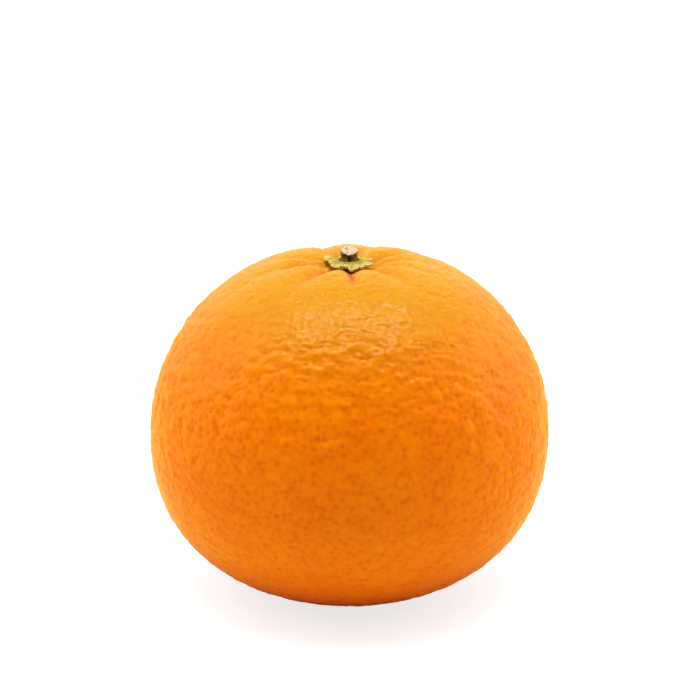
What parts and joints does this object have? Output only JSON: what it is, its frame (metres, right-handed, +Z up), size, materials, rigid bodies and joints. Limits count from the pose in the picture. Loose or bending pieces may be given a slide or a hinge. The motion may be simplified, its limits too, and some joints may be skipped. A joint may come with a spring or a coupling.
{
  "type": "mandarin fruit",
  "caption": "Oblate citrus fruit with a furrowed crown, a small scalloped calyx and a short clipped stem, resting on its blossom end.",
  "frame": {"origin": "centre of the bounding box in X and Y, on the surface the fruit rests on", "axes": "+Z up through the stem end, -Y the front that the picture shows, +X to its right"},
  "size_m": [0.0722, 0.0722, 0.0641],
  "materials": {
    "peel": "waxy, pitted satin",
    "sepal": "dry, matte",
    "twig": "bark and rough cut wood"
  },
  "bodies": {
    "root": {"fruit": "peel", "calyx": "sepal", "stem": "twig"}
  },
  "joints": []
}
